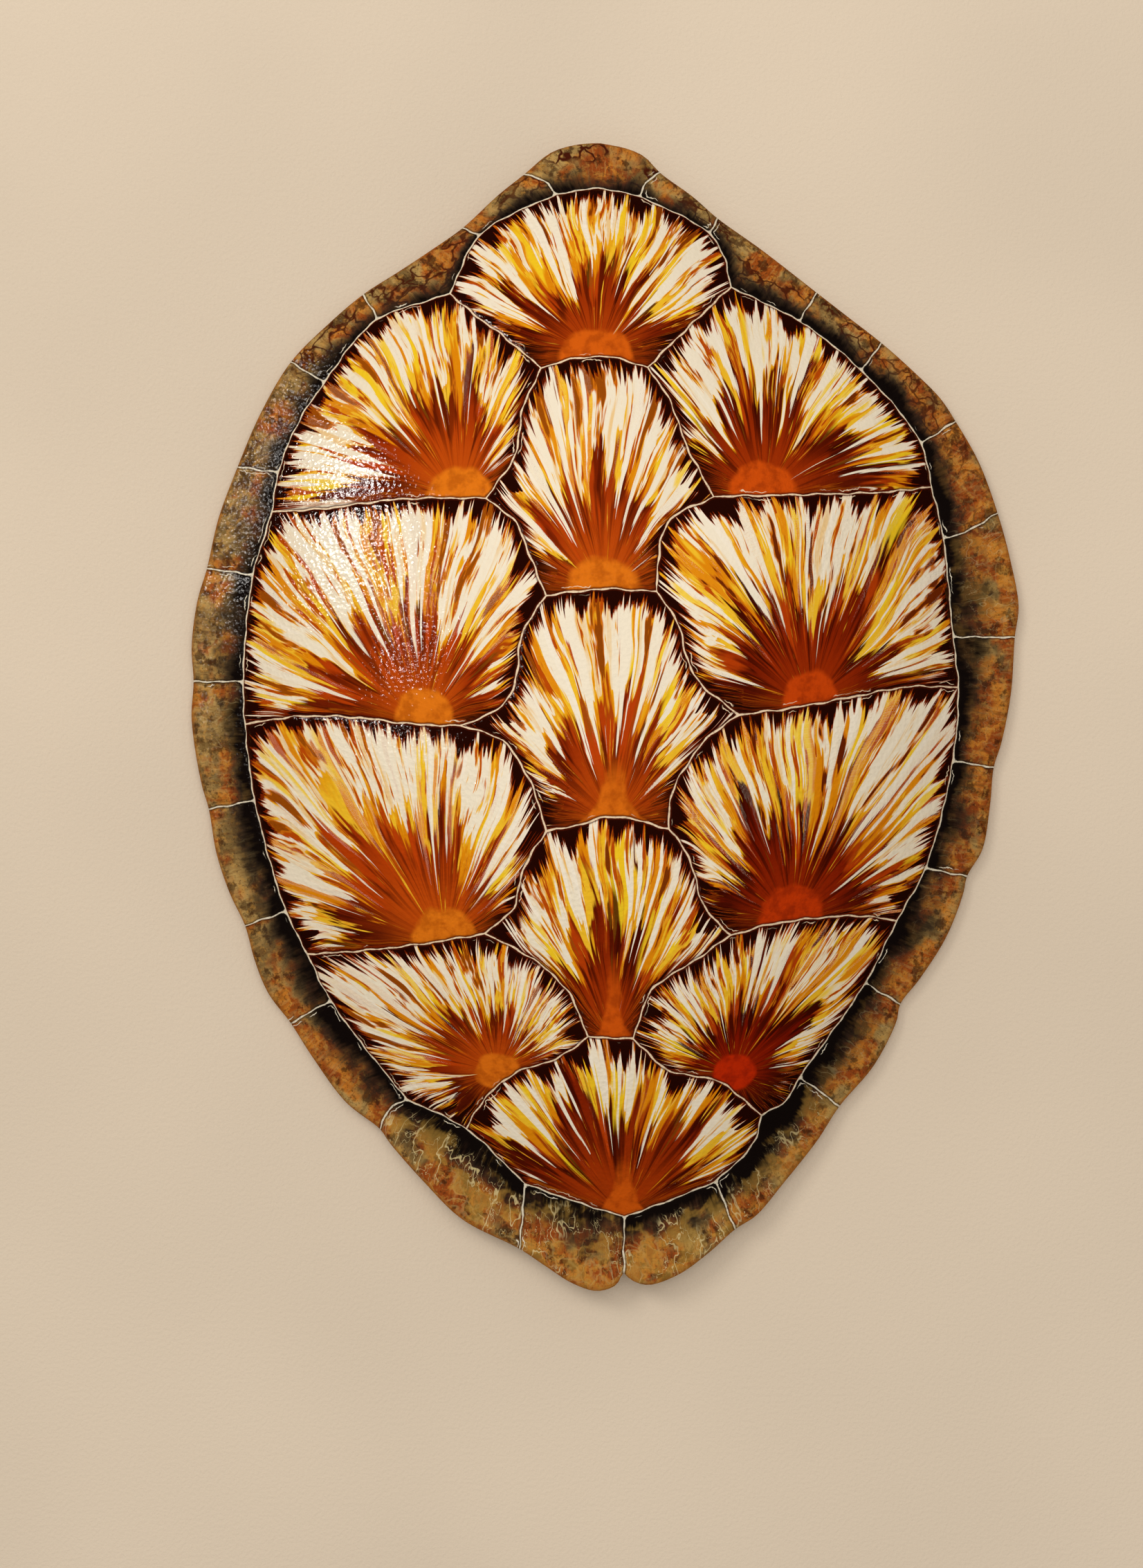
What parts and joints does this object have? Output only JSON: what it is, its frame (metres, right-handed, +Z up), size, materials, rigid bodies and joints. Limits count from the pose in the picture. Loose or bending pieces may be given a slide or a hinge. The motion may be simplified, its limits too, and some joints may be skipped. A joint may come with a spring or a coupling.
{
  "type": "sea turtle shell",
  "caption": "Domed upper shell of a sea turtle with painted ray-patterned plates, hollow below, lying flat on its rim.",
  "frame": {"origin": "on the ground under the middle of the shell's box", "axes": "+Y towards the head end, +Z up through the crest of the dome, +X to the right side seen from above with the head end up"},
  "size_m": [0.4326, 0.5946, 0.131],
  "materials": {
    "shell": "horny plates with cream, yellow, amber and rust rays on black-brown, mottled ochre and grey rim plates, cream seams, all under a gloss varnish; ivory bone below"
  },
  "bodies": {
    "root": {"carapace": "shell"}
  },
  "joints": []
}
